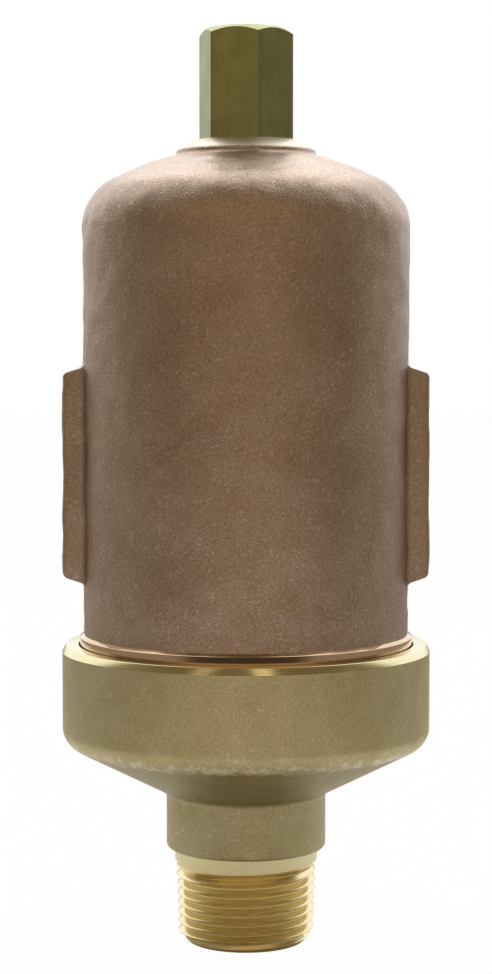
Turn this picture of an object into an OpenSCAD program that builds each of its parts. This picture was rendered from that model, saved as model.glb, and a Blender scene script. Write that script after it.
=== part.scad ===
// Float-type air release valve for a 3/4-14 NPT pipe tapping.
// A cast bell screws into a collar with a pipe shank. Inside, a float lifts a
// pin against a small orifice when water fills the bell, and drops to vent air.
// Millimetres, +Z up along the valve's axis, origin at the middle of the
// shank's end face. The wrench lugs lie along X. The float is drawn at rest,
// at the bottom of its stroke.

/* [Pipe shank] */
// Length of the shank from its end face to the neck
shank_len = 18.2; // [16:0.1:30]
// Crest radius of the taper pipe thread at the end face
thread_r = 13; // [11.5:0.05:16]
// Radius that the thread gains per millimetre of length
thread_taper = 0.03125; // [0.02:0.00125:0.05]
// Pitch of the thread, 14 turns to the inch
thread_pitch = 1.814; // [1.2:0.002:2.4]
// Depth of the thread from crest to root
thread_depth = 1.25; // [0.6:0.05:1.3]
// Length over which the thread runs out under the land
thread_runout = 2.7; // [1:0.1:4]
// Chamfer at the shank's end
end_chamfer = 1.8; // [0.5:0.1:2]
// Length of the plain land between thread and neck
land_len = 2.3; // [1:0.1:5]
// Step from the thread's crest out to the land
land_step = 0.2; // [0.1:0.05:0.6]
// Radius of the inlet bore
inlet_r = 8.5; // [7:0.1:9.5]
// Length of the straight inlet bore
inlet_len = 24; // [18:0.1:25]
// Widening of the flare above the inlet bore
flare_w = 3; // [1.5:0.1:4]

/* [Collar] */
// Step from the land out to the neck
neck_step = 1.6; // [1:0.1:4]
// Length of the neck up to the cone
neck_len = 10.7; // [6:0.1:20]
// Rounding of the neck's lower edge
neck_edge = 0.8; // [0.3:0.1:1]
// Slope of the cone above the horizontal, in degrees
cone_angle = 27.3; // [15:0.1:32]
// Fillet between the neck and the cone
cone_fillet = 2; // [0.5:0.1:4]
// Height of the collar's straight side
collar_h = 17.1; // [16:0.1:30]
// Rounding of the collar's lower corner
collar_round = 3.8; // [1:0.1:5]
// Width of the rim from the mouth to the side
rim_w = 3.1; // [2:0.1:6]
// Height of the bevel at the rim's outer edge
rim_rise = 1.3; // [0.5:0.1:3]
// Width of the bevel at the rim's outer edge
rim_bevel = 0.7; // [0.3:0.1:1.5]
// Upright thickness of the cone's wall
cone_wall = 4.5; // [3:0.1:6]
// Depth of the counterbore that takes the bell's shoulder
mouth_depth = 2.2; // [1.5:0.1:3]
// Depth of the threaded socket under the counterbore
socket_depth = 10; // [7:0.1:11]
// Width of the gasket's seat
gasket_w = 2.9; // [2:0.1:4]
// Thickness of the body gasket
gasket_t = 1.5; // [0.8:0.1:3]

/* [Bell] */
// Outer radius of the bell's wall
body_r = 31; // [26:0.5:40]
// Wall thickness of the bell
body_wall = 4; // [3:0.1:5]
// Length of the straight wall from the collar's mouth to the knuckle
barrel_len = 79.2; // [60:0.2:120]
// Outer radius of the dished crown
crown_r = 56; // [45:1:80]
// Outer radius of the knuckle
knuckle_r = 10; // [7:0.5:14]
// Step from the wall in to the threaded spigot
spigot_step = 0.6; // [0.3:0.1:1]
// How far the turned shoulder stands out from the wall
shoulder_lip = 0.8; // [0.4:0.1:1.5]
// Height of the shoulder's land above the collar's mouth
shoulder_h = 1.6; // [0.5:0.1:3]
// Height of the shoulder's bevel
shoulder_bevel = 0.4; // [0.2:0.1:2]
// Outer radius of the boss on the crown
boss_r = 13.2; // [11.5:0.1:17]
// Rise of the boss above the top of the crown
boss_rise = 1.35; // [0.5:0.05:4]
// Height of the turned bevel on the boss
boss_bevel = 1.9; // [0.8:0.1:2.4]
// Fillet at the foot of the boss
boss_fillet = 0.8; // [0.3:0.1:2]
// Margin of the boss's flat top round the hexagon's corners
boss_margin = 0.4; // [0.2:0.1:1]
// Thickness of the boss from its top to its inner face
boss_len = 11; // [8:0.1:16]
// Wall of the inner boss round the pin guide
inner_boss_wall = 1.8; // [1:0.1:4]

/* [Wrench lugs] */
// How far each lug's face stands out from the wall
lug_stand = 3.7; // [2:0.1:8]
// Length of each lug's face
lug_len = 38.4; // [20:0.2:50]
// Width of each lug
lug_w = 11; // [6:0.2:16]
// Slope of the lug's ends, in degrees
lug_slope = 20; // [5:1:40]
// Rounding of the lug's edges
lug_round = 1.2; // [0.3:0.1:2]
// Height of the lug's middle above the collar's mouth
lug_up = 32.4; // [26:0.2:45]

/* [Vent fitting] */
// Width of the hexagon across its flats
hex_af = 16; // [14:0.1:22]
// Length of the hexagon
hex_len = 20.9; // [16:0.1:40]
// Turn of the hexagon after tightening, in degrees
hex_turn = -15.5; // [-30:0.5:30]
// Slope of the chamfer on the hexagon's top, in degrees
hex_slope = 35; // [15:1:45]
// Rim between the drain port and the chamfer
port_rim = 3.1; // [0.6:0.1:3.4]
// Tap drill radius of the 1/8-27 NPT drain port
port_r = 4.3; // [3:0.05:5]
// Depth of the drain port
port_depth = 12; // [8:0.1:14]
// Countersink at the drain port's mouth
port_sink = 0.4; // [0.2:0.1:0.5]
// Radius of the threaded spigot in the boss
vent_r = 6.6; // [6:0.1:7.5]
// How far the spigot reaches past the boss's inner face
vent_reach = 3; // [2:0.1:6]
// Radius of the vent passage
passage_r = 2; // [1:0.1:2.5]

/* [Seat and pin] */
// Radius of the seat's threaded insert
seat_r = 4; // [3:0.1:4.5]
// Length of the seat's threaded insert
seat_len = 7.5; // [4:0.1:9]
// Thickness of the seat's flange
seat_flange = 1.8; // [1.2:0.1:3]
// Thickness of the seat gasket
seat_gasket_t = 0.8; // [0.4:0.1:1.5]
// Radius of the vent orifice
orifice_r = 0.5; // [0.4:0.05:0.9]
// Length of the narrow part of the orifice
orifice_len = 3; // [1.5:0.1:4]
// Radius of the pin
pin_r = 1.5; // [1.3:0.1:2]
// Length of the pin held in the float's top boss
pin_hold = 5; // [3:0.1:5.5]
// Length of the elastomer tip
tip_len = 2.5; // [2.2:0.1:4]
// Radius of the flat on the tip's end
tip_flat = 0.25; // [0.1:0.05:0.35]
// Half angle of the tip's cone, in degrees
tip_angle = 30; // [25:1:45]
// Radius of the tip's stub in the pin
stub_r = 0.75; // [0.5:0.05:0.9]
// Length of the tip's stub in the pin
stub_len = 1.6; // [1:0.1:3]
// Width of the pin's locknut across its flats
nut_af = 5.5; // [5:0.1:8]
// Thickness of the pin's locknut
nut_t = 2.4; // [1.5:0.1:4]

/* [Pin guide] */
// Wall of the guide cage
cage_wall = 2; // [1:0.1:3]
// Length of the guide cage
cage_len = 14; // [12:0.1:20]
// Thickness of the cage's floor
cage_floor = 2; // [1:0.1:4]
// Width of each air window in the cage
window_w = 5; // [2:0.1:6]
// Height of each air window
window_h = 5; // [2:0.1:6]
// Bevel at the cage's lower edge
cage_bevel = 0.8; // [0.3:0.1:1.5]

/* [Float] */
// Stroke of the float from rest to closed
float_stroke = 6; // [3:0.1:8]
// Space between the float and the bell's wall
float_gap = 3.5; // [2:0.1:6]
// Sheet thickness of the float's shells
float_wall = 0.8; // [0.5:0.1:1.2]
// Outer radius of the float's dished ends
float_crown = 45; // [35:1:70]
// Outer radius of the float's knuckles
float_knuckle = 6; // [3:0.5:9]
// Radius of the flat seat in each dished end
float_flat = 8; // [7:0.1:10]
// Radius of each boss's spigot through its shell
float_boss_r = 4; // [3:0.1:5]
// Width of each boss's collar on its shell
float_boss_lip = 1.5; // [1:0.1:2.5]
// Height of each boss's collar
float_boss_h = 2.5; // [1.5:0.1:5]
// Length of each boss's spigot inside its shell
float_boss_in = 4; // [3:0.1:6]
// Width of the seam ring's rib between the shells
seam_rib = 0.5; // [0.3:0.1:1.5]
// Half height of the seam ring behind the shells
seam_half = 3; // [1.5:0.1:6]
// Thickness of the seam ring behind the shells
seam_t = 0.8; // [0.5:0.1:2]

/* [Guide] */
// Thickness of the guide spider
spider_t = 2; // [1:0.1:3]
// Width of the spider's rim
spider_rim = 5; // [3:0.1:8]
// Width of the ledge that carries the spider
ledge_w = 1.9; // [1:0.1:2.5]
// Land between the gasket's seat and the snap ring's groove
groove_land = 1.7; // [1:0.1:2.5]
// Width of the spider's arms
arm_w = 5; // [3:0.1:7]
// Height of the spider's hub
hub_h = 5; // [3:0.1:5.5]
// Wall of the spider's hub
hub_wall = 3; // [1.5:0.1:4]
// Wall of the guide bush
bush_wall = 1.8; // [1:0.1:3]
// Flange of the guide bush beyond its sleeve
bush_lip = 2; // [1:0.1:2.5]
// Thickness of the bush's flange
bush_flange = 1.2; // [0.8:0.1:2]
// Length of the bush's sleeve
bush_len = 5.6; // [4:0.1:6]
// Radius of the guide stem
stem_r = 2; // [1.5:0.1:3]
// Thickness of the stem clip
clip_t = 0.8; // [0.5:0.1:1.2]
// Depth of the clip's groove in the stem
clip_groove = 0.5; // [0.3:0.05:0.7]
// Width of the stem clip outside the stem
clip_w = 1.8; // [1:0.1:2.5]
// Length of the stem below the clip
stem_tail = 1.2; // [0.8:0.1:2]
// Thickness of the snap ring
ring_t = 1.2; // [0.8:0.1:2]
// Depth of the snap ring's groove
ring_groove = 1; // [0.5:0.1:1.5]
// Width of the snap ring
ring_w = 2.8; // [2:0.1:4]
// Opening between the snap ring's ends
ring_open = 9; // [6:0.5:16]
// Radius of the eyes at the snap ring's ends
eye_r = 1.9; // [1.4:0.1:2.5]
// Radius of the holes in the snap ring's eyes
eye_hole = 0.8; // [0.5:0.1:1]

/* [Fits] */
// Radial gap of a screwed or pressed fit
screw_gap = 0.05; // [0.02:0.01:0.15]
// Radial gap of a sliding fit
slide_gap = 0.06; // [0.03:0.01:0.1]
// Radial gap between the shoulder and the collar's mouth
mouth_gap = 0.3; // [0.1:0.05:0.5]
// Gap under the shoulder, so that the gasket takes the load
shoulder_gap = 0.5; // [0.2:0.1:1]
// Radial gap round rings and gaskets
ring_gap = 0.2; // [0.1:0.05:0.4]
// Gap between the float and the guide bush at rest
rest_gap = 0.3; // [0.2:0.05:0.6]
// Gap left between tip and seat when the float is up
seat_gap = 0.12; // [0.1:0.02:0.2]
// Spare travel of the locknut and the clip past the stroke
travel_spare = 1; // [0.5:0.1:2]

/* [Hidden] */
$fn = 96;
// Length by which a cut runs past the face that it opens
past = 1;
// Steps of each rounded edge in a turned profile
arc_steps = 8;

// Radii of the collar and the bell, from the bell's wall
cavity_r = body_r - body_wall;
spigot_r = body_r - spigot_step;
socket_r = spigot_r + screw_gap;
shoulder_r = body_r + shoulder_lip;
mouth_r = shoulder_r + mouth_gap;
collar_r = mouth_r + rim_w;
ledge_r = socket_r - gasket_w;
spider_r = ledge_r - ring_gap;
chamber_r = spider_r - ledge_w;
thread_len = shank_len - land_len;
crest_r = thread_r + thread_taper * thread_len;
root_z = max(end_chamfer - thread_depth, thread_pitch / 8);
foot_r = thread_r - thread_depth - root_z;
land_r = crest_r + land_step;
neck_r = land_r + neck_step;

// Heights of the collar, from the shank's end
cone_z = shank_len + neck_len;
corner_z = cone_z + (collar_r - neck_r) * tan(cone_angle);
rim_z = corner_z + collar_h;
mouth_z = rim_z + rim_rise;
counterbore_z = mouth_z - mouth_depth;
gasket_z = counterbore_z - socket_depth;
groove_z = gasket_z - groove_land - ring_t - ring_gap;
ledge_z = groove_z - spider_t;

// Heights of the bell
bell_z = gasket_z + gasket_t;
shoulder_z = counterbore_z + shoulder_gap;
shoulder_top = mouth_z + shoulder_h;
knuckle_z = mouth_z + barrel_len;
crown_z = knuckle_z - sqrt(pow(crown_r - knuckle_r, 2) - pow(body_r - knuckle_r, 2));
boss_z = crown_z + crown_r + boss_rise;
inner_z = boss_z - boss_len;
lug_z = mouth_z + lug_up;

// Vent fitting, seat and pin guide
hex_r = hex_af / 2 / cos(30);
top_z = boss_z + hex_len;
top_r = port_r + port_rim;
boss_flat = hex_r + boss_margin;
vent_hole = vent_r + screw_gap;
vent_z = inner_z - vent_reach;
flange_r = vent_r - ring_gap;
seat_z = vent_z - seat_gasket_t;
orifice_z = seat_z - seat_flange;
pocket_r = seat_r + screw_gap;
cage_ir = vent_r + screw_gap;
cage_r = cage_ir + cage_wall;
cage_z = inner_z - cage_len;
pin_hole = pin_r + slide_gap;
inner_boss_r = cage_r + inner_boss_wall;

// Pin and float at rest, from the seat down
tip_entry = (orifice_r - tip_flat) / tan(tip_angle) - seat_gap;
tip_z = orifice_z + tip_entry - float_stroke;
pin_z = tip_z - tip_len;
tip_r = pin_r - slide_gap;
tip_cone = (tip_r - tip_flat) / tan(tip_angle);
nut_z = cage_z - float_stroke - travel_spare - nut_t;
float_top = nut_z - float_boss_h;
float_r = cavity_r - float_gap;

// Guide and the float's lower end
bush_z = ledge_z + spider_t;
bush_r = stem_r + slide_gap + bush_wall;
hub_r = bush_r + screw_gap + hub_wall;
bush_top = bush_z + bush_flange;
stem_top = bush_top + rest_gap;
float_bottom = stem_top + float_boss_h;
seam_z = (float_top + float_bottom) / 2;
clip_z = bush_z - bush_len - float_stroke - travel_spare - clip_t;
stem_z = clip_z - stem_tail;

// Points of an arc about c from angle a to angle b
function arc(c, r, a, b, n = arc_steps) =
    [for (i = [0:n]) let (t = a + (b - a) * i / n) [c[0] + r * cos(t), c[1] + r * sin(t)]];

function unit(v) = v / norm(v);

// Turn from angle a to angle b by the short way
function short_turn(a, b) = let (d = b - a) d > 180 ? d - 360 : d < -180 ? d + 360 : d;

// Points that round corner b of the path a, b, c with radius r
function rounded(a, b, c, r) =
    let (
        u = unit(a - b),
        v = unit(c - b),
        half = acos(u * v) / 2,
        m = b + unit(u + v) * r / sin(half),
        p = b + u * r / tan(half) - m,
        q = b + v * r / tan(half) - m,
        from = atan2(p[1], p[0])
    )
    arc(m, r, from, from + short_turn(from, atan2(q[1], q[0])));

// Outline of a dished end: the knuckle from the wall, then the crown in to radius r_end
function dish(r, knuckle, crown, z, r_end) =
    let (
        tangent = acos((r - knuckle) / (crown - knuckle)),
        middle = z - (crown - knuckle) * sin(tangent)
    )
    concat(
        arc([r - knuckle, z], knuckle, 0, tangent, 2 * arc_steps),
        [for (p = arc([0, middle], crown, tangent, acos(r_end / crown))) if (p[0] < r - knuckle) p]
    );

// Height of a crown's surface at radius r, for a dished end whose wall ends at z
function dish_height(r_wall, knuckle, crown, z, r) =
    z - sqrt(pow(crown - knuckle, 2) - pow(r_wall - knuckle, 2)) + sqrt(pow(crown, 2) - pow(r, 2));

module ring(r_out, r_in, z, h) {
    translate([0, 0, z])
        difference() {
            cylinder(r = r_out, h = h);
            translate([0, 0, -past])
                cylinder(r = r_in, h = h + 2 * past);
        }
}

module bore(r, z, h) {
    translate([0, 0, z])
        cylinder(r = r, h = h);
}

// One wrench lug on +X, rooted in the wall
module lug() {
    face = body_r + lug_stand;
    root = body_r - body_wall / 2;
    spread = (face - root) * tan(lug_slope);
    half = lug_len / 2;
    low = [root, -half - spread];
    high = [root, half + spread];
    side = concat(
        [low],
        rounded(low, [face, -half], [face, half], lug_round),
        rounded([face, -half], [face, half], high, lug_round),
        [high]
    );
    plan = concat(
        [[root, -lug_w / 2]],
        rounded([root, -lug_w / 2], [face, -lug_w / 2], [face, lug_w / 2], lug_round),
        rounded([face, -lug_w / 2], [face, lug_w / 2], [root, lug_w / 2], lug_round),
        [[root, lug_w / 2]]
    );
    translate([0, 0, lug_z])
        intersection() {
            rotate([90, 0, 0])
                linear_extrude(lug_w + 2 * past, center = true)
                    polygon(side);
            linear_extrude(lug_len + 2 * spread + 2 * past, center = true)
                polygon(plan);
        }
}

module bell_body() {
    outer = dish(body_r, knuckle_r, crown_r, knuckle_z, boss_r);
    foot = [boss_r, dish_height(body_r, knuckle_r, crown_r, knuckle_z, boss_r)];
    slope = outer[len(outer) - 2];
    edge = [boss_r, boss_z - boss_bevel];
    inner = dish(cavity_r, knuckle_r - body_wall, crown_r - body_wall, knuckle_z, inner_boss_r);
    profile = concat(
        [
            [cavity_r, bell_z],
            [spigot_r, bell_z],
            [spigot_r, shoulder_z],
            [shoulder_r, shoulder_z],
            [shoulder_r, shoulder_top],
            [body_r, shoulder_top + shoulder_bevel]
        ],
        [for (i = [0:len(outer) - 2]) outer[i]],
        rounded(slope, foot, edge, boss_fillet),
        rounded(foot, edge, [boss_flat, boss_z], boss_fillet),
        [
            [boss_flat, boss_z],
            [vent_hole, boss_z],
            [vent_hole, inner_z],
            [inner_boss_r, inner_z]
        ],
        [for (i = [len(inner) - 1:-1:0]) inner[i]]
    );
    color("#7A6048")
        union() {
            rotate_extrude()
                polygon(profile);
            lug();
            rotate([0, 0, 180])
                lug();
        }
}

// Radius of the thread at a height, a depth under the crest, inside the end chamfer
function ridge_r(z, depth) = min(thread_r + thread_taper * z - depth, foot_r + z);

// Depth of a root at a height, which runs out to nothing at the land
function root_depth(z) = thread_depth * min(1, (thread_len - z) / thread_runout);

// Roots and crests of the pipe thread in turn, as rings at its pitch and taper
function thread_profile() =
    let (
        ridges = floor((thread_len - root_z) / thread_pitch),
        half = thread_pitch / 2,
        last_crest_z = root_z + (2 * ridges - 1) * half,
        runout_z = (last_crest_z + thread_len) / 2
    )
    concat(
        [
            for (i = [0 : 2 * ridges - 1])
                let (z = root_z + i * half)
                [ridge_r(z, i % 2 == 0 ? root_depth(z) : 0), z]
        ],
        [[ridge_r(runout_z, root_depth(runout_z)), runout_z]]
    );

module base_collar() {
    neck_foot = [neck_r, shank_len];
    neck_top = [neck_r, cone_z];
    corner = [collar_r, corner_z];
    rim = [collar_r, rim_z];
    rise = tan(cone_angle);
    flare_r = inlet_r + flare_w;
    floor_z = cone_z + cone_wall + (flare_r - neck_r) * rise;
    wall_z = cone_z + cone_wall + (chamber_r - neck_r) * rise;
    profile = concat(
        [
            [inlet_r, 0],
            [foot_r, 0]
        ],
        thread_profile(),
        [
            [crest_r, thread_len],
            [land_r, thread_len],
            [land_r, shank_len]
        ],
        rounded([land_r, shank_len], neck_foot, neck_top, neck_edge),
        rounded(neck_foot, neck_top, corner, cone_fillet),
        rounded(neck_top, corner, rim, collar_round),
        [
            rim,
            [collar_r - rim_bevel, mouth_z],
            [mouth_r, mouth_z],
            [mouth_r, counterbore_z],
            [socket_r, counterbore_z],
            [socket_r, gasket_z],
            [ledge_r, gasket_z],
            [ledge_r, gasket_z - groove_land],
            [ledge_r + ring_groove, gasket_z - groove_land],
            [ledge_r + ring_groove, groove_z],
            [ledge_r, groove_z],
            [ledge_r, ledge_z],
            [chamber_r, ledge_z],
            [chamber_r, wall_z],
            [flare_r, floor_z],
            [inlet_r, inlet_len]
        ]
    );
    color("#8F8258")
        rotate_extrude()
            polygon(profile);
}

module body_gasket() {
    color("#4A4038")
        ring(socket_r - ring_gap, ledge_r + ring_gap, gasket_z, gasket_t);
}

module vent_fitting() {
    blank_r = hex_r + past;
    turned = [
        [0, boss_z],
        [blank_r, boss_z],
        [blank_r, top_z - (blank_r - top_r) * tan(hex_slope)],
        [top_r, top_z],
        [0, top_z]
    ];
    port_z = top_z - port_depth;
    color("#6B5F2E")
        difference() {
            union() {
                intersection() {
                    rotate([0, 0, hex_turn])
                        translate([0, 0, boss_z - past])
                            cylinder(r = hex_r, h = hex_len + 2 * past, $fn = 6);
                    rotate_extrude()
                        polygon(turned);
                }
                bore(vent_r, vent_z, boss_z - vent_z + past);
            }
            bore(port_r, port_z, port_depth + past);
            translate([0, 0, top_z - port_sink])
                cylinder(r1 = port_r, r2 = port_r + port_sink + past, h = port_sink + past);
            bore(passage_r, vent_z - past, port_z - vent_z + 2 * past);
            bore(pocket_r, vent_z - past, seat_gasket_t + seat_len + past);
        }
}

module valve_seat() {
    profile = [
        [orifice_r, orifice_z],
        [flange_r, orifice_z],
        [flange_r, seat_z],
        [seat_r, seat_z],
        [seat_r, seat_z + seat_len],
        [passage_r, seat_z + seat_len],
        [passage_r, orifice_z + orifice_len + passage_r - orifice_r],
        [orifice_r, orifice_z + orifice_len]
    ];
    color("#C8CCD0")
        rotate_extrude()
            polygon(profile);
}

module seat_gasket() {
    color("#E8E4DA")
        ring(flange_r, pocket_r, seat_z, seat_gasket_t);
}

module pin_guide() {
    profile = [
        [pin_hole, cage_z],
        [cage_r - cage_bevel, cage_z],
        [cage_r, cage_z + cage_bevel],
        [cage_r, inner_z],
        [cage_ir, inner_z],
        [cage_ir, cage_z + cage_floor],
        [pin_hole, cage_z + cage_floor]
    ];
    color("#B9A25A")
        difference() {
            rotate_extrude()
                polygon(profile);
            for (a = [45, 135])
                rotate([0, 0, a])
                    translate([-cage_r - past, -window_w / 2, cage_z + cage_floor])
                        cube([2 * (cage_r + past), window_w, window_h]);
        }
}

module guide_spider() {
    inner_r = spider_r - spider_rim;
    color("#C2C6C9")
        difference() {
            union() {
                ring(spider_r, inner_r, ledge_z, spider_t);
                bore(hub_r, bush_z - hub_h, hub_h);
                for (a = [90, 210, 330])
                    rotate([0, 0, a])
                        translate([0, -arm_w / 2, ledge_z])
                            cube([inner_r + spider_rim / 2, arm_w, spider_t]);
            }
            bore(bush_r + screw_gap, bush_z - hub_h - past, hub_h + 2 * past);
        }
}

module guide_bush() {
    profile = [
        [stem_r + slide_gap, bush_z - bush_len],
        [bush_r, bush_z - bush_len],
        [bush_r, bush_z],
        [bush_r + bush_lip, bush_z],
        [bush_r + bush_lip, bush_top],
        [stem_r + slide_gap, bush_top]
    ];
    color("#E9E6DC")
        rotate_extrude()
            polygon(profile);
}

module spider_snap_ring() {
    outer = ledge_r + ring_groove - ring_gap;
    inner = outer - ring_w;
    eye_at = inner - eye_r + ring_w / 2;
    spread = ring_open / 2 + eye_r;
    color("#8D9196")
        translate([0, 0, groove_z])
            linear_extrude(ring_t)
                difference() {
                    union() {
                        difference() {
                            circle(r = outer);
                            circle(r = inner);
                            translate([-spread, 0])
                                square([2 * spread, outer + past]);
                        }
                        for (s = [-1, 1])
                            translate([s * spread, eye_at])
                                circle(r = eye_r);
                    }
                    for (s = [-1, 1])
                        translate([s * spread, eye_at])
                            circle(r = eye_hole);
                }
}

// Half cross-section of a float shell whose flat end lies at z = 0 and whose edge lies at -depth
function shell_section(depth) =
    let (
        rise = dish_height(float_r, float_knuckle, float_crown, 0, float_flat),
        outer = dish(float_r, float_knuckle, float_crown, -rise, float_flat),
        inner = dish(
            float_r - float_wall, float_knuckle - float_wall, float_crown - float_wall,
            -rise, float_flat
        ),
        hole = float_boss_r + screw_gap
    )
    concat(
        [[float_r, -depth]],
        outer,
        [[hole, 0], [hole, -float_wall]],
        [for (i = [len(inner) - 1:-1:0]) inner[i]],
        [[float_r - float_wall, -depth]]
    );

module float_upper_shell() {
    color("#BFC4C8")
        translate([0, 0, float_top])
            rotate_extrude()
                polygon(shell_section(float_top - seam_z - seam_rib / 2));
}

module float_lower_shell() {
    color("#BFC4C8")
        translate([0, 0, float_bottom])
            rotate([180, 0, 0])
                rotate_extrude()
                    polygon(shell_section(seam_z - float_bottom - seam_rib / 2));
}

module float_seam_ring() {
    back = float_r - float_wall - screw_gap;
    profile = [
        [back - seam_t, seam_z - seam_half],
        [back, seam_z - seam_half],
        [back, seam_z - seam_rib / 2],
        [float_r, seam_z - seam_rib / 2],
        [float_r, seam_z + seam_rib / 2],
        [back, seam_z + seam_rib / 2],
        [back, seam_z + seam_half],
        [back - seam_t, seam_z + seam_half]
    ];
    color("#A9AEB2")
        rotate_extrude()
            polygon(profile);
}

// Boss through a shell, with its collar outside and a blind hole from above
module float_boss(hole_r, hole_depth) {
    difference() {
        union() {
            cylinder(r = float_boss_r + float_boss_lip, h = float_boss_h);
            translate([0, 0, -float_boss_in])
                cylinder(r = float_boss_r, h = float_boss_in + float_boss_h / 2);
        }
        translate([0, 0, float_boss_h - hole_depth])
            cylinder(r = hole_r, h = hole_depth + past);
    }
}

module float_top_boss() {
    color("#B4B9BD")
        translate([0, 0, float_top])
            float_boss(pin_r + screw_gap, pin_hold);
}

module float_bottom_boss() {
    color("#B4B9BD")
        translate([0, 0, float_bottom])
            rotate([180, 0, 0])
                float_boss(stem_r + screw_gap, pin_hold);
}

module valve_pin() {
    foot = nut_z - pin_hold;
    color("#D0D4D8")
        difference() {
            bore(pin_r, foot, pin_z - foot);
            bore(stub_r + screw_gap, pin_z - stub_len, stub_len + past);
        }
}

module pin_tip() {
    profile = [
        [0, pin_z - stub_len],
        [stub_r, pin_z - stub_len],
        [stub_r, pin_z],
        [tip_r, pin_z],
        [tip_r, tip_z - tip_cone],
        [tip_flat, tip_z],
        [0, tip_z]
    ];
    color("#26282A")
        rotate_extrude()
            polygon(profile);
}

module pin_locknut() {
    color("#C6CACD")
        translate([0, 0, nut_z])
            difference() {
                cylinder(r = nut_af / 2 / cos(30), h = nut_t, $fn = 6);
                bore(pin_r + screw_gap, -past, nut_t + 2 * past);
            }
}

module guide_stem() {
    top = stem_top + pin_hold;
    neck = stem_r - clip_groove;
    profile = [
        [0, stem_z],
        [neck, stem_z],
        [stem_r, stem_z + clip_groove],
        [stem_r, clip_z],
        [neck, clip_z],
        [neck, clip_z + clip_t],
        [stem_r, clip_z + clip_t],
        [stem_r, top],
        [0, top]
    ];
    color("#D0D4D8")
        rotate_extrude()
            polygon(profile);
}

module stem_clip() {
    inner = stem_r - clip_groove + screw_gap;
    color("#6F757A")
        translate([0, 0, clip_z])
            linear_extrude(clip_t)
                difference() {
                    circle(r = stem_r + clip_w);
                    circle(r = inner);
                    translate([-inner, 0])
                        square([2 * inner, stem_r + clip_w + past]);
                }
}

bell_body();
base_collar();
body_gasket();
vent_fitting();
valve_seat();
seat_gasket();
pin_guide();
guide_spider();
guide_bush();
spider_snap_ring();
float_upper_shell();
float_lower_shell();
float_seam_ring();
float_top_boss();
float_bottom_boss();
valve_pin();
pin_tip();
pin_locknut();
guide_stem();
stem_clip();
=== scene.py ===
# %% [markdown]
# # Dressing an air release valve
# The valve stands on its pipe shank: a brass collar with a taper thread, a sand-cast bronze
# bell screwed into it, and a hexagon brass fitting on top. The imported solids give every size
# and every moving part. This lesson gives the three outside pieces the edges, threads and
# finishes of the real ones, and puts a finish on each inner piece.

# %% Load the solids
import math

import bmesh
import bpy
from mathutils import Matrix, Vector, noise


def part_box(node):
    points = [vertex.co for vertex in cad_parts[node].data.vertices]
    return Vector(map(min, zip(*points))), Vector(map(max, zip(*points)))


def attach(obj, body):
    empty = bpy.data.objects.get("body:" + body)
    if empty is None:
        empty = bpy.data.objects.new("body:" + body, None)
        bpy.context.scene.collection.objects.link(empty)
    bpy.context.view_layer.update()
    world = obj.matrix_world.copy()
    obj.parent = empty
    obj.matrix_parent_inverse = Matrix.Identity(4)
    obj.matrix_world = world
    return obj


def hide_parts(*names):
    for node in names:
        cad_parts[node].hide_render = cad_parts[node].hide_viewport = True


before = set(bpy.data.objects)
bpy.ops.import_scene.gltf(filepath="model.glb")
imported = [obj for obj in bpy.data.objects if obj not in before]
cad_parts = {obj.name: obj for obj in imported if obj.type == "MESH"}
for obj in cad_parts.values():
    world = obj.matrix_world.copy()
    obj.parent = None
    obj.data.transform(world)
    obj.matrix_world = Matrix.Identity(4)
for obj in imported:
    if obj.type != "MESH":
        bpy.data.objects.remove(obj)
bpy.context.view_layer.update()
MM = 0.001

# %% [markdown]
# ## Camera
# The ellipses of the collar, the neck and the hexagon's chamfer all agree with one camera: 440 mm
# in front of the valve's axis, a little above its middle, looking slightly down. A lens of that
# length keeps the same foreshortening in the render.

# %% Camera
LENS, SENSOR = 85.2, 36.0
CAMERA_AWAY, CAMERA_HEIGHT, CAMERA_DIP, NEAREST = 0.440, 0.11628, 3.746, 0.01
camera = bpy.data.objects.new("camera", bpy.data.cameras.new("camera"))
camera.data.lens = LENS
camera.data.sensor_width = SENSOR
camera.data.clip_start = NEAREST
camera.location = (0.0, -CAMERA_AWAY, CAMERA_HEIGHT)
camera.rotation_euler = (math.radians(90 - CAMERA_DIP), 0.0, 0.0)
bpy.context.scene.collection.objects.link(camera)
bpy.context.scene.camera = camera
bpy.context.scene.view_settings.view_transform = "Standard"
print("camera", camera.data.lens, "mm")

# %% [markdown]
# ## One way to add a node, one way to write a colour
# Every finish below is a small network. A single function adds a node, sets what it is told and
# links the sockets that it is given. Colours are written as the sRGB values that a paint program
# shows, and one function turns them to the linear values that the renderer works in. Patterns are
# sized by real millimetres, because Object coordinates are in metres here. The sockets of a Mix node
# share their names, so they are called by number, and the numbers get names.


# %% Node and colour helpers
SHARE, FIRST, SECOND, MIXED = 0, 6, 7, 2
WHITE = (1.0, 1.0, 1.0, 1.0)


def add(tree, kind, settings=None, inputs=None):
    made = tree.nodes.new(kind)
    for name, value in (settings or {}).items():
        setattr(made, name, value)
    for name, value in (inputs or {}).items():
        if isinstance(value, bpy.types.NodeSocket):
            tree.links.new(value, made.inputs[name])
        else:
            made.inputs[name].default_value = value
    return made


def srgb(code):
    parts = [int(code[i:i + 2], 16) / 255 for i in (1, 3, 5)]
    return [p / 12.92 if p <= 0.04045 else ((p + 0.055) / 1.055) ** 2.4 for p in parts] + [1.0]


def per_metre(size_mm):
    return 1.0 / (size_mm * MM)


def new_finish(name):
    made = bpy.data.materials.new(name)
    made.use_nodes = True
    tree = made.node_tree
    shader = tree.nodes["Principled BSDF"]
    place = add(tree, "ShaderNodeTexCoord").outputs["Object"]
    return made, tree, shader, place


print("helpers ready")

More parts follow.
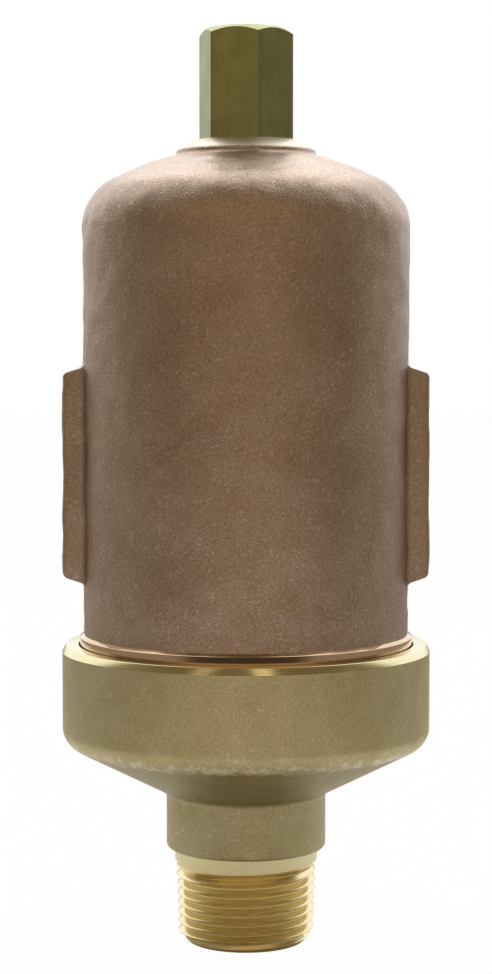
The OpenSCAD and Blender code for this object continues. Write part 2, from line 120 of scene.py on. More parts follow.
# %% [markdown]
# ## Stage and light
# The photograph was taken before a pale backdrop that curves up over the valve to a white top, with
# a dim, warm room on the camera's side. Metal shows that plainly: its front mirrors the brown room,
# its sides turn grey and its top turns white. So the world has a warm front that is dimmer overhead
# and at its flanks, a pale back and a white top, told apart by the direction of the ray. The white
# starts lower behind and at the sides, where the backdrop leans in. The camera itself sees white.

# %% Room
BACK_LEAN, SIDE_LEAN = 0.9, 0.36
BACKDROP_TOP = (1.18, 1.18, 1.2, 1.0)
world = bpy.data.worlds.new("room_with_backdrop")
bpy.context.scene.world = world
world.use_nodes = True
sky = world.node_tree
way = add(sky, "ShaderNodeSeparateXYZ", None, {0: add(sky, "ShaderNodeTexCoord").outputs["Generated"]})
back = add(sky, "ShaderNodeMapRange", {"interpolation_type": "SMOOTHSTEP"},
           {"Value": way.outputs["Y"], "From Min": 0.1, "From Max": 0.4})
lean = add(sky, "ShaderNodeMath", {"operation": "MULTIPLY_ADD"},
           {0: way.outputs["Y"], 1: BACK_LEAN, 2: way.outputs["Z"]})
aside = add(sky, "ShaderNodeMath", {"operation": "ABSOLUTE"}, {0: way.outputs["X"]})
lean = add(sky, "ShaderNodeMath", {"operation": "MULTIPLY_ADD"},
           {0: aside.outputs[0], 1: SIDE_LEAN, 2: lean.outputs[0]})
ceiling = add(sky, "ShaderNodeMapRange", {"interpolation_type": "SMOOTHSTEP"},
              {"Value": way.outputs["Z"], "From Min": 0.3, "From Max": 0.7})
top = add(sky, "ShaderNodeMapRange", {"interpolation_type": "SMOOTHSTEP"},
          {"Value": lean.outputs[0], "From Min": 0.96, "From Max": 1.06})
front = add(sky, "ShaderNodeMix", {"data_type": "RGBA"},
            {SHARE: ceiling.outputs[0], FIRST: srgb("#B89C7A"), SECOND: srgb("#6E5E46")})
flank = add(sky, "ShaderNodeMapRange", {"interpolation_type": "SMOOTHSTEP"},
            {"Value": aside.outputs[0], "From Min": 0.6, "From Max": 0.9})
front = add(sky, "ShaderNodeMix", {"data_type": "RGBA"},
            {SHARE: flank.outputs[0], FIRST: front.outputs[MIXED], SECOND: srgb("#7D715C")})
sides = add(sky, "ShaderNodeMix", {"data_type": "RGBA"},
            {SHARE: back.outputs[0], FIRST: front.outputs[MIXED], SECOND: srgb("#C4BEB4")})
room = add(sky, "ShaderNodeMix", {"data_type": "RGBA"},
           {SHARE: top.outputs[0], FIRST: sides.outputs[MIXED], SECOND: BACKDROP_TOP})
path = add(sky, "ShaderNodeLightPath")
room = add(sky, "ShaderNodeMix", {"data_type": "RGBA"},
           {SHARE: path.outputs["Is Camera Ray"], FIRST: room.outputs[MIXED], SECOND: WHITE})
sky.links.new(room.outputs[MIXED], sky.nodes["Background"].inputs["Color"])
print("room set")

# %% [markdown]
# The valve stands on a narrow pale sheet, on a greyer table that is dark in front. The camera sees the
# floor almost white, as in the photograph, and what is left of it keeps the soft shadow under the
# valve. The metal sees the rest: a bright strip on the collar's front, dimmer sides, and a dark band on
# the turned shoulder.

# %% Floor
FLOOR_HALF, FLOOR_DROP, SEEN_WHITE = 3.0, 0.0002, 0.98
pale_floor, tree, shader, place = new_finish("pale_sheet_on_table")
where = add(tree, "ShaderNodeSeparateXYZ", None, {0: place})
aside = add(tree, "ShaderNodeMath", {"operation": "ABSOLUTE"}, {0: where.outputs["X"]})
beside = add(tree, "ShaderNodeMapRange", None,
             {"Value": aside.outputs[0], "From Min": 0.1, "From Max": 0.2})
ahead = add(tree, "ShaderNodeMapRange", None,
            {"Value": where.outputs["Y"], "From Min": -0.31, "From Max": -0.37})
sheet_colour = add(tree, "ShaderNodeMix", {"data_type": "RGBA"},
                   {SHARE: beside.outputs[0], FIRST: srgb("#F2F0EA"), SECOND: srgb("#ABA59B")})
top_colour = add(tree, "ShaderNodeMix", {"data_type": "RGBA"},
                 {SHARE: ahead.outputs[0], FIRST: sheet_colour.outputs[MIXED], SECOND: srgb("#2E231B")})
tree.links.new(top_colour.outputs[MIXED], shader.inputs["Base Color"])
shader.inputs["Roughness"].default_value = 0.9
path = add(tree, "ShaderNodeLightPath")
glow = add(tree, "ShaderNodeEmission", None, {"Color": WHITE, "Strength": 1.0})
share = add(tree, "ShaderNodeMath", {"operation": "MULTIPLY"},
            {0: path.outputs["Is Camera Ray"], 1: SEEN_WHITE})
both = add(tree, "ShaderNodeMixShader", None,
           {0: share.outputs[0], 1: shader.outputs[0], 2: glow.outputs[0]})
tree.links.new(both.outputs[0], tree.nodes["Material Output"].inputs["Surface"])
sheet = bmesh.new()
bmesh.ops.create_grid(sheet, x_segments=1, y_segments=1, size=FLOOR_HALF)
mesh = bpy.data.meshes.new("floor")
sheet.to_mesh(mesh)
sheet.free()
mesh.materials.append(pale_floor)
floor = bpy.data.objects.new("floor", mesh)
floor.location.z = -FLOOR_DROP
bpy.context.scene.collection.objects.link(floor)
print("floor laid")

# %% [markdown]
# One wide lamp hangs above and behind. Two small warm ones hang high in the room, to the right of the
# camera and farther to its left. They make the bright spots on the rim and touch the crests of the
# thread.


# %% Lamps
def soft_lamp(name, wide, tall, power, colour, place_at, turn):
    lamp = bpy.data.lights.new(name, "AREA")
    lamp.shape = "RECTANGLE"
    lamp.size = wide
    lamp.size_y = tall
    lamp.energy = power
    lamp.color = srgb(colour)[:3]
    holder = bpy.data.objects.new(name, lamp)
    holder.location = place_at
    holder.rotation_euler = [math.radians(t) for t in turn]
    bpy.context.scene.collection.objects.link(holder)


soft_lamp("backdrop_lamp", 0.6, 0.5, 1.0, "#FFFFFF", (0.0, 0.40, 0.65), (-35, 0, 0))
LAMP_AWAY, LAMP_RISE, LAMP_AIM, LAMP_WIDE, LAMP_TALL = 0.9, 48, 0.1, 0.14, 0.4
ROOM_LAMPS = (("room_lamp_right", 13.5, 0.14), ("room_lamp_left", -33.5, 0.07))
for name, aside, power in ROOM_LAMPS:
    out = LAMP_AWAY * math.cos(math.radians(LAMP_RISE))
    up = LAMP_AIM + LAMP_AWAY * math.sin(math.radians(LAMP_RISE))
    angle = math.radians(aside)
    soft_lamp(name, LAMP_WIDE, LAMP_TALL, power, "#FFE6BE",
              (out * math.sin(angle), -out * math.cos(angle), up), (90 - LAMP_RISE, 0, aside))
print("lamps set")

# %% [markdown]
# ## Turning a profile
# All three outside pieces were turned or cast round one axis, so each starts as a half section
# that is spun a full turn. Rounded edges are drawn into the section with short arcs.


# %% Lathe helpers
SAME_POINT = 1e-7


def arc(centre, radius, start, end, steps):
    turns = [math.radians(start + (end - start) * i / steps) for i in range(steps + 1)]
    return [(centre[0] + radius * math.cos(t), centre[1] + radius * math.sin(t)) for t in turns]


def lathe(section, steps):
    bm = bmesh.new()
    loop = [bm.verts.new((r * MM, 0.0, z * MM)) for r, z in section]
    edges = [bm.edges.new((loop[i - 1], loop[i])) for i in range(len(loop))]
    bmesh.ops.spin(bm, geom=loop + edges, cent=(0, 0, 0), axis=(0, 0, 1), dvec=(0, 0, 0),
                   angle=2 * math.pi, steps=steps, use_merge=True)
    bmesh.ops.remove_doubles(bm, verts=bm.verts, dist=SAME_POINT)
    bmesh.ops.recalc_face_normals(bm, faces=bm.faces)
    return bm


def finish_piece(name, bm, finishes, nodes, sharp=32):
    mesh = bpy.data.meshes.new(name)
    bm.to_mesh(mesh)
    bm.free()
    for finish in finishes:
        mesh.materials.append(finish)
    mesh.shade_smooth()
    mesh.set_sharp_from_angle(angle=math.radians(sharp))
    made = bpy.data.objects.new(name, mesh)
    bpy.context.scene.collection.objects.link(made)
    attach(made, "valve_body")
    if nodes:
        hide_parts(*nodes)
    print(name, len(mesh.polygons), "faces")
    return made


# %% [markdown]
# ## Cast bronze
# The bell was cast in sand and left as it came out: a dull brown skin with the grit of the mould
# pressed into it, in places redder and in places greyer. It is a metal with a rough oxide, so the
# shader is metallic and wide in its shine. The grit is about a third of a millimetre, drawn that
# coarse so that it shows. Between it lie pale specks of 0.7 mm, which are painted glints, and the
# patches of colour are about 12 mm.

# %% Cast bronze finish
cast_bronze, tree, shader, place = new_finish("sand_cast_bronze")
patches = add(tree, "ShaderNodeTexNoise", None,
              {"Vector": place, "Scale": per_metre(12.0), "Detail": 3.0, "Roughness": 0.55})
tone = add(tree, "ShaderNodeMapRange", None,
           {"Value": patches.outputs[0], "From Min": 0.35, "From Max": 0.65})
grit = add(tree, "ShaderNodeTexNoise", None,
           {"Vector": place, "Scale": per_metre(0.33), "Detail": 3.0, "Roughness": 0.6})
skin = add(tree, "ShaderNodeMix", {"data_type": "RGBA"},
           {SHARE: tone.outputs[0], FIRST: srgb("#C0A997"), SECOND: srgb("#CBB6A4")})
speck = add(tree, "ShaderNodeMapRange", None,
            {"Value": grit.outputs[0], "From Min": 0.3, "From Max": 0.7, "To Min": 0.66, "To Max": 1.16})
skin = add(tree, "ShaderNodeMix", {"data_type": "RGBA", "blend_type": "MULTIPLY"},
           {SHARE: 1.0, FIRST: skin.outputs[MIXED], SECOND: speck.outputs[0]})
# Painted glints: sparse pale specks mixed into the base colour stand in for tiny highlights.
painted_glint_noise = add(tree, "ShaderNodeTexNoise", None,
             {"Vector": place, "Scale": per_metre(0.7), "Detail": 1.0})
painted_glint = add(tree, "ShaderNodeMapRange", None,
            {"Value": painted_glint_noise.outputs[0], "From Min": 0.58, "From Max": 0.78, "To Min": 0.0, "To Max": 0.34})
skin = add(tree, "ShaderNodeMix", {"data_type": "RGBA"},
           {SHARE: painted_glint.outputs[0], FIRST: skin.outputs[MIXED], SECOND: srgb("#FFF4E2")})
dull = add(tree, "ShaderNodeMapRange", None,
           {"Value": patches.outputs[0], "From Min": 0.3, "From Max": 0.7, "To Min": 0.31, "To Max": 0.38})
rough = add(tree, "ShaderNodeBump", None,
            {"Strength": 0.75, "Distance": 0.14 * MM, "Height": grit.outputs[0]})
tree.links.new(skin.outputs[MIXED], shader.inputs["Base Color"])
tree.links.new(dull.outputs[0], shader.inputs["Roughness"])
tree.links.new(rough.outputs[0], shader.inputs["Normal"])
shader.inputs["Metallic"].default_value = 1.0
print(cast_bronze.name)

# %% [markdown]
# ## Turned bronze
# The shoulder and the boss's bevel were cut on a lathe and stayed bright, the bevel much duller than
# the shoulder. The tool leaves fine lines round the axis, about 0.35 mm apart. They follow height on an
# upright wall and radius on a flat face, so the noise runs along height less radius.


# %% Turned bronze finish
def turning_lines(tree, place, apart):
    flat = add(tree, "ShaderNodeVectorMath", {"operation": "MULTIPLY"}, {0: place, 1: (1.0, 1.0, 0.0)})
    radius = add(tree, "ShaderNodeVectorMath", {"operation": "LENGTH"}, {0: flat.outputs[0]})
    height = add(tree, "ShaderNodeSeparateXYZ", None, {0: place})
    along = add(tree, "ShaderNodeMath", {"operation": "SUBTRACT"},
                {0: height.outputs["Z"], 1: radius.outputs["Value"]})
    lines = add(tree, "ShaderNodeTexNoise", {"noise_dimensions": "1D"},
                {"W": along.outputs[0], "Scale": per_metre(apart), "Detail": 2.0})
    return lines.outputs[0]


def lathe_cut(name, colour, apart, smooth, dull):
    made, tree, shader, place = new_finish(name)
    shine = add(tree, "ShaderNodeMapRange", None,
                {"Value": turning_lines(tree, place, apart), "From Min": 0.3, "From Max": 0.7,
                 "To Min": smooth, "To Max": dull})
    shader.inputs["Base Color"].default_value = srgb(colour)
    shader.inputs["Metallic"].default_value = 1.0
    tree.links.new(shine.outputs[0], shader.inputs["Roughness"])
    return made


turned_bronze = lathe_cut("turned_bronze", "#DCBE9C", 0.35, 0.05, 0.1)
faced_bronze = lathe_cut("faced_bronze", "#E6DAC8", 0.35, 0.42, 0.52)
print(turned_bronze.name, faced_bronze.name)

# %% [markdown]
# ## The bell
# The half section runs from the threaded spigot up the straight wall, round the knuckle, over the
# dished crown and up the boss, whose foot and upper edge are a little rounded. The wall's rings end
# level with the lugs' ends, so that a lug can be drawn from whole faces.


# %% Bell
def rings(low, high, apart):
    steps = math.ceil((high - low) / apart)
    return [low + (high - low) * i / steps for i in range(1, steps + 1)]


spigot_z, boss_z = [c.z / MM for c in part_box("bell_body")]
mouth_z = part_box("base_collar")[1].z / MM
WALL_R, CAVITY_R, SPIGOT_R, KNUCKLE_R, CROWN_R = 31.0, 27.0, 30.4, 10.0, 56.0
SHOULDER_R, SHOULDER_LOW, SHOULDER_HIGH, SHOULDER_TOP, SHOULDER_EDGE = 31.8, 1.7, 1.6, 2.0, 0.1
LUG_X, LUG_W, LUG_LEN, LUG_SLOPE, LUG_UP, BARREL_LEN = 34.7, 11.0, 38.4, 20.0, 32.4, 79.2
BOSS_R, BOSS_TOP_R, BOSS_BEVEL, BOSS_LEN, BOSS_FILLET = 13.2, 9.64, 1.8, 11.0, 0.7
VENT_HOLE_R, INNER_BOSS_R, INNER_BOSS_LEN, INNER_START = 6.65, 10.45, 4.7, 78
BELL_STEPS, WALL_RING, KNUCKLE_STEPS, CROWN_STEPS, INNER_STEPS = 192, 1.4, 16, 20, 8
FOOT_ROUND = ((0.2, 0.15), (0.0, 0.5))
EDGE_ROUND = ((0.0, 2.2), (0.1, 2.0), (0.3, BOSS_BEVEL))
wall = WALL_R - CAVITY_R
lug_z = mouth_z + LUG_UP
knuckle_z = mouth_z + BARREL_LEN
tangent = math.degrees(math.acos((WALL_R - KNUCKLE_R) / (CROWN_R - KNUCKLE_R)))
crown_z = knuckle_z - (CROWN_R - KNUCKLE_R) * math.sin(math.radians(tangent))
boss_foot = crown_z + math.sqrt(CROWN_R ** 2 - BOSS_R ** 2)
crown_end = math.degrees(math.acos((BOSS_R + BOSS_FILLET) / CROWN_R))
lug_half = LUG_LEN / 2 + (LUG_X - WALL_R) * math.tan(math.radians(LUG_SLOPE))
inner_z = boss_z - BOSS_LEN
section = [
    (CAVITY_R, spigot_z), (SPIGOT_R, spigot_z), (SPIGOT_R, mouth_z - SHOULDER_LOW),
    (SHOULDER_R, mouth_z - SHOULDER_LOW), (SHOULDER_R, mouth_z + SHOULDER_HIGH - SHOULDER_EDGE),
    (SHOULDER_R - SHOULDER_EDGE, mouth_z + SHOULDER_HIGH), (WALL_R, mouth_z + SHOULDER_TOP),
]
stops = [mouth_z + SHOULDER_TOP, lug_z - lug_half, lug_z + lug_half, knuckle_z]
for low, high in zip(stops, stops[1:]):
    section += [(WALL_R, z) for z in rings(low, high, WALL_RING)]
section.pop()
section += arc((WALL_R - KNUCKLE_R, knuckle_z), KNUCKLE_R, 0, tangent, KNUCKLE_STEPS)
section += arc((0, crown_z), CROWN_R, tangent, crown_end, CROWN_STEPS)[1:]
section += [(BOSS_R + out, boss_foot + up) for out, up in FOOT_ROUND]
section += [(BOSS_R - inward, boss_z - down) for inward, down in EDGE_ROUND]
section += [(BOSS_TOP_R, boss_z), (VENT_HOLE_R, boss_z), (VENT_HOLE_R, inner_z)]
section += [(INNER_BOSS_R, inner_z), (INNER_BOSS_R, inner_z + INNER_BOSS_LEN)]
section += arc((0, crown_z), CROWN_R - wall, INNER_START, tangent, INNER_STEPS)
section += arc((WALL_R - KNUCKLE_R, knuckle_z), KNUCKLE_R - wall, tangent, 0, INNER_STEPS)[1:]
bell = lathe(section, BELL_STEPS)
print("bell spun:", len(bell.faces), "faces")

# %% [markdown]
# Two wrench lugs stand on the sides. A separate block would leave a seam, so they are drawn out of the
# wall itself: the faces at each side are extruded, set flat, and the edges beveled, so that the lug
# blends into the wall with the small fillet that a pattern maker gives it.

# %% Wrench lugs
PATCH_X, PATCH_HALF_W, LUG_SLACK = 29.5, 5.7, 0.1
for side in (1, -1):
    patch = [f for f in bell.faces
             if abs(f.calc_center_median().z / MM - lug_z) < lug_half - LUG_SLACK
             and f.calc_center_median().x * side > PATCH_X * MM
             and abs(f.calc_center_median().y) < PATCH_HALF_W * MM]
    grown = bmesh.ops.extrude_face_region(bell, geom=patch)["geom"]
    bmesh.ops.delete(bell, geom=[f for f in patch if f.is_valid], context="FACES_ONLY")
    tops = [v for v in grown if isinstance(v, bmesh.types.BMVert)]
    widest = max(abs(v.co.y) for v in tops)
    for v in tops:
        v.co.x = LUG_X * MM * side
        v.co.y *= LUG_W / 2 * MM / widest
        v.co.z = lug_z * MM + (v.co.z - lug_z * MM) * LUG_LEN / 2 / lug_half
bmesh.ops.recalc_face_normals(bell, faces=bell.faces)


def bevel(bm, edges, width_mm, segments):
    bmesh.ops.bevel(bm, geom=edges, offset=width_mm * MM, offset_type="OFFSET", segments=segments,
                    profile=0.5, affect="EDGES", material=-1, clamp_overlap=True)


FACE_SLACK, WALL_SLACK, LEAST_BEND = 0.01, 0.05, 25
RIM_ROUND, FEET_ROUND, ROUND_STEPS = 1.0, 0.8, 4


def outward(edge):
    return all(abs(v.co.x) > (LUG_X - FACE_SLACK) * MM for v in edge.verts)


def edge_bend(edge):
    return edge.calc_face_angle(0.0) > math.radians(LEAST_BEND)


def at_foot(edge):
    return all(abs(math.hypot(v.co.x, v.co.y) / MM - WALL_R) < WALL_SLACK
               and abs(v.co.z / MM - lug_z) < lug_half + LUG_SLACK for v in edge.verts)


bevel(bell, [e for e in bell.edges if edge_bend(e) and outward(e)], RIM_ROUND, ROUND_STEPS)
feet = [e for e in bell.edges if edge_bend(e) and at_foot(e)]
bevel(bell, feet, FEET_ROUND, ROUND_STEPS)
print("lugs drawn out,", len(feet), "foot edges filleted")

# %% [markdown]
# A sand casting is never quite true. Its skin swells and dips by a tenth of a millimetre or two, and
# its edge above the turned shoulder wanders. Moving the points by smooth noise gives both.


# %% Bell piece
SWELLS = ((9.0, 1.0), (3.5, 0.7), (2.0, 0.45))
SWELL_HEIGHT, SWELL_FROM_R, BELOW_EDGE, BELOW_BOSS = 0.2, 13.0, 0.1, 3.0


def uneven(bm, low, high, amount):
    bm.normal_update()
    for v in bm.verts:
        if low < v.co.z / MM < high and math.hypot(v.co.x, v.co.y) > SWELL_FROM_R * MM:
            swell = sum(share * noise.noise(v.co / (size * MM)) for size, share in SWELLS)
            v.co += v.normal * swell * amount * MM


uneven(bell, mouth_z + SHOULDER_TOP - BELOW_EDGE, boss_z - BELOW_BOSS, SWELL_HEIGHT)
for face in bell.faces:
    middle = face.calc_center_median()
    radius = math.hypot(middle.x, middle.y) / MM
    height = middle.z / MM
    shoulder = height < mouth_z + SHOULDER_TOP - FACE_SLACK and radius > SPIGOT_R - 1
    faced = height > boss_z - BOSS_BEVEL
    face.material_index = 1 if shoulder else 2 if faced else 0
bell_finishes = [cast_bronze, turned_bronze, faced_bronze]
finish_piece("cast_bell", bell, bell_finishes, ["bell_body"])

# %% [markdown]
# ## Brass of the collar
# The collar is a brass casting that was tumbled matte: a khaki skin with a fine grain, pale where the
# lower edge has rubbed. The cone is darkened with painted shade, and the neck a little less, for the
# shade under the collar's overhang. The rim was turned on a lathe after that and is bright, and so
# are the land above the thread and the thread itself.

# %% Collar finishes
NECK_TOP, CONE_FROM, CONE_TOP, SIDE_FROM, RUBBED_EDGE = 28.4, 30.0, 37.4, 39.0, 38.8
# How far the painted shade under the collar darkens the neck and the cone.
NECK_PAINTED_SHADE, CONE_PAINTED_SHADE = 0.8, 0.64
collar_brass, tree, shader, place = new_finish("tumbled_khaki_brass")
height = add(tree, "ShaderNodeSeparateXYZ", None, {0: place})
cloud = add(tree, "ShaderNodeTexNoise", None,
            {"Vector": place, "Scale": per_metre(6.0), "Detail": 4.0, "Roughness": 0.6})
grain = add(tree, "ShaderNodeTexNoise", None,
            {"Vector": place, "Scale": per_metre(0.35), "Detail": 3.0, "Roughness": 0.65})
tone = add(tree, "ShaderNodeMapRange", None,
           {"Value": cloud.outputs[0], "From Min": 0.35, "From Max": 0.65})
skin = add(tree, "ShaderNodeMix", {"data_type": "RGBA"},
           {SHARE: tone.outputs[0], FIRST: srgb("#CFC497"), SECOND: srgb("#D9CFA5")})
speck = add(tree, "ShaderNodeMapRange", None,
            {"Value": grain.outputs[0], "From Min": 0.3, "From Max": 0.7, "To Min": 0.76, "To Max": 1.14})
skin = add(tree, "ShaderNodeMix", {"data_type": "RGBA", "blend_type": "MULTIPLY"},
           {SHARE: 1.0, FIRST: skin.outputs[MIXED], SECOND: speck.outputs[0]})
# Painted shade: the cone and the neck under the collar's overhang are darkened in the base colour.
side = add(tree, "ShaderNodeMapRange", {"interpolation_type": "SMOOTHSTEP"},
           {"Value": height.outputs["Z"], "From Min": CONE_TOP * MM, "From Max": SIDE_FROM * MM,
            "To Min": CONE_PAINTED_SHADE, "To Max": 1.0})
neck = add(tree, "ShaderNodeMapRange", {"interpolation_type": "SMOOTHSTEP"},
           {"Value": height.outputs["Z"], "From Min": NECK_TOP * MM, "From Max": CONE_FROM * MM,
            "To Min": NECK_PAINTED_SHADE, "To Max": 0.0})
painted_underside_shade = add(tree, "ShaderNodeMath", {"operation": "MAXIMUM"},
             {0: side.outputs[0], 1: neck.outputs[0]})
skin = add(tree, "ShaderNodeMix", {"data_type": "RGBA", "blend_type": "MULTIPLY"},
           {SHARE: 1.0, FIRST: skin.outputs[MIXED], SECOND: painted_underside_shade.outputs[0]})
off = add(tree, "ShaderNodeMath", {"operation": "SUBTRACT"},
          {0: height.outputs["Z"], 1: RUBBED_EDGE * MM})
off = add(tree, "ShaderNodeMath", {"operation": "ABSOLUTE"}, {0: off.outputs[0]})
edge = add(tree, "ShaderNodeMapRange", {"interpolation_type": "SMOOTHSTEP", "clamp": True},
           {"Value": off.outputs[0], "From Min": 0.2 * MM, "From Max": 1.6 * MM,
            "To Min": 0.17, "To Max": 0.0})
rub = add(tree, "ShaderNodeTexNoise", None,
          {"Vector": place, "Scale": per_metre(1.8), "Detail": 5.0, "Roughness": 0.7})
rubbed = add(tree, "ShaderNodeMath", {"operation": "ADD"}, {0: rub.outputs[0], 1: edge.outputs[0]})
worn = add(tree, "ShaderNodeMapRange", None,
           {"Value": rubbed.outputs[0], "From Min": 0.61, "From Max": 0.74, "To Min": 0.0, "To Max": 0.8})
skin = add(tree, "ShaderNodeMix", {"data_type": "RGBA"},
           {SHARE: worn.outputs[0], FIRST: skin.outputs[MIXED], SECOND: srgb("#F0ECDA")})
rough = add(tree, "ShaderNodeBump", None,
            {"Strength": 0.5, "Distance": 0.09 * MM, "Height": grain.outputs[0]})
tree.links.new(skin.outputs[MIXED], shader.inputs["Base Color"])
tree.links.new(rough.outputs[0], shader.inputs["Normal"])
shader.inputs["Metallic"].default_value = 0.9
shader.inputs["Roughness"].default_value = 0.42

turned_brass = lathe_cut("turned_yellow_brass", "#E8E0B4", 0.3, 0.14, 0.24)
thread_brass, tree, shader, place = new_finish("cut_thread_brass")
stain = add(tree, "ShaderNodeTexNoise", None,
            {"Vector": place, "Scale": per_metre(1.5), "Detail": 3.0})
tone = add(tree, "ShaderNodeMix", {"data_type": "RGBA"},
           {SHARE: stain.outputs[0], FIRST: srgb("#E8D69E"), SECOND: srgb("#F2E4B8")})
tree.links.new(tone.outputs[MIXED], shader.inputs["Base Color"])
shader.inputs["Metallic"].default_value = 1.0
shader.inputs["Roughness"].default_value = 0.22
print(collar_brass.name, turned_brass.name, thread_brass.name)

# %% [markdown]
# ## The collar
# One half section again: shank core, land, neck, cone, side, beveled rim, and the socket inside.
# The cone meets the side with a soft corner, which the bevel operator rounds after the spin. One
# extra ring above that corner keeps the smooth shading from bending over the straight side, and the
# rim's lower edge stays sharp, as the lathe left it.

# %% Collar
ROOT_R, TAPER, THREAD_END, LAND_R = 11.7, 1 / 32, 15.9, 13.697
NECK_R, NECK_Z, CONE_Z, COLLAR_R, COLLAR_SIDE = 15.297, 18.2, 28.9, 35.18, 18.4
CORE_GAP, CORE_CHAMFER, SIDE_RING, RIM_RISE, RIM_BEVEL = 0.01, 0.5, 2.8, 1.3, 0.7
MOUTH_R, SOCKET_R, SEAT_R, GROOVE_R, LEDGE_R = 32.1, 30.45, 27.55, 28.55, 25.45
MOUTH_DOWN, SOCKET_DOWN, GROOVE_TOP, GROOVE_DOWN, LEDGE_DOWN = 2.2, 12.2, 13.9, 15.3, 17.3
INLET_R, INLET_LEN, FLARE_R, FLARE_Z, DISH_Z, COLLAR_STEPS = 8.5, 24.0, 11.5, 31.4, 38.7, 160
core = ROOT_R - CORE_GAP
corner_z = mouth_z - COLLAR_SIDE
section = [
    (INLET_R, 0.0), (core - CORE_CHAMFER, 0.0), (core, CORE_CHAMFER),
    (core + TAPER * THREAD_END, THREAD_END), (LAND_R, THREAD_END), (LAND_R, NECK_Z),
    (NECK_R, NECK_Z), (NECK_R, CONE_Z), (COLLAR_R, corner_z),
    (COLLAR_R, corner_z + SIDE_RING), (COLLAR_R, mouth_z - RIM_RISE), (COLLAR_R - RIM_BEVEL, mouth_z),
    (MOUTH_R, mouth_z), (MOUTH_R, mouth_z - MOUTH_DOWN), (SOCKET_R, mouth_z - MOUTH_DOWN),
    (SOCKET_R, mouth_z - SOCKET_DOWN), (SEAT_R, mouth_z - SOCKET_DOWN), (SEAT_R, mouth_z - GROOVE_TOP),
    (GROOVE_R, mouth_z - GROOVE_TOP), (GROOVE_R, mouth_z - GROOVE_DOWN), (SEAT_R, mouth_z - GROOVE_DOWN),
    (SEAT_R, mouth_z - LEDGE_DOWN), (LEDGE_R, mouth_z - LEDGE_DOWN), (LEDGE_R, DISH_Z),
    (FLARE_R, FLARE_Z), (INLET_R, INLET_LEN),
]
collar = lathe(section, COLLAR_STEPS)


def ring_edges(bm, radius, height):
    return [e for e in bm.edges
            if all(abs(math.hypot(v.co.x, v.co.y) / MM - radius) < FACE_SLACK
                   and abs(v.co.z / MM - height) < FACE_SLACK for v in e.verts)]


ROUNDED = (
    (COLLAR_R, corner_z, 2.3, 8),
    (NECK_R, CONE_Z, 0.9, 6),
    (NECK_R, NECK_Z, 0.8, 5),
    (COLLAR_R - RIM_BEVEL, mouth_z, 0.15, 3),
)
for radius, height, width, segments in ROUNDED:
    bevel(collar, ring_edges(collar, radius, height), width, segments)
for face in collar.faces:
    middle = face.calc_center_median()
    radius = math.hypot(middle.x, middle.y) / MM
    height = middle.z / MM
    rim = height > mouth_z - RIM_RISE - WALL_SLACK
    land = height < NECK_Z + WALL_SLACK and radius < LAND_R + WALL_SLACK
    face.material_index = 1 if rim or land else 0
RIM_SHARP = 25
collar_finishes = [collar_brass, turned_brass]
finish_piece("brass_collar", collar, collar_finishes, ["base_collar"], RIM_SHARP)

# %% [markdown]
# ## The pipe thread
# A 3/4-14 NPT thread: 60 degree flanks, a pitch of 1.814 mm, and a taper of 1 in 16. One pitch of
# the section is spun with a lift at each step, which draws the helix. Each point is then moved out
# by the taper, held inside the chamfer at the end, and filled in where the thread runs out under the
# land.

# %% Pipe thread
PITCH, DEPTH, FLAT, STEPS, THREAD_SHARP, THREAD_WELD = 25.4 / 14, 1.25, 0.16, 96, 40, 1e-6
CREST_ROUND = ((0.1, 0.17), (0.02, 0.05))
RUN_OUT_Z, RUN_OUT_LEN, RUN_OUT_FILL = 13.2, 2.4, 0.85
crest = FLAT + (PITCH - 2 * FLAT) / 2
turns = math.ceil(THREAD_END / PITCH) + 2
thread = bmesh.new()
points = [(0, 0), (FLAT, 0)]
points += [(crest - along, DEPTH - down) for along, down in CREST_ROUND]
points += [(crest + FLAT / 2, DEPTH)]
points += [(crest + FLAT + along, DEPTH - down) for along, down in reversed(CREST_ROUND)]
points += [(PITCH, 0)]
chain = [thread.verts.new(((ROOT_R + r) * MM, 0, (z - PITCH) * MM)) for z, r in points]
edges = [thread.edges.new((chain[i], chain[i + 1])) for i in range(len(chain) - 1)]
bmesh.ops.spin(thread, geom=chain + edges, cent=(0, 0, 0), axis=(0, 0, 1),
               dvec=(0, 0, PITCH * MM / STEPS), angle=2 * math.pi * turns, steps=STEPS * turns)
bmesh.ops.remove_doubles(thread, verts=thread.verts, dist=THREAD_WELD)
for cut_z, side in ((0.0, -1), (THREAD_END, 1)):
    bmesh.ops.bisect_plane(thread, geom=thread.verts[:] + thread.edges[:] + thread.faces[:],
                           plane_co=(0, 0, cut_z * MM), plane_no=(0, 0, side), clear_outer=True)
for v in thread.verts:
    z = v.co.z / MM
    radius = math.hypot(v.co.x, v.co.y) / MM
    run_out = min(max((z - RUN_OUT_Z) / RUN_OUT_LEN, 0.0), 1.0) * DEPTH * RUN_OUT_FILL
    wanted = min(max(radius, ROOT_R + run_out) + TAPER * z, ROOT_R - CORE_CHAMFER + z)
    v.co.x *= wanted / radius
    v.co.y *= wanted / radius
bmesh.ops.recalc_face_normals(thread, faces=thread.faces)
finish_piece("pipe_thread", thread, [thread_brass], [], THREAD_SHARP)

# %% [markdown]
# ## Drawn hexagon brass
# The fitting is cut from hexagon bar. Drawing the bar through its die leaves faint lines along it,
# and handling has dulled it to an olive tone. The lines are noise that is stretched along the bar.

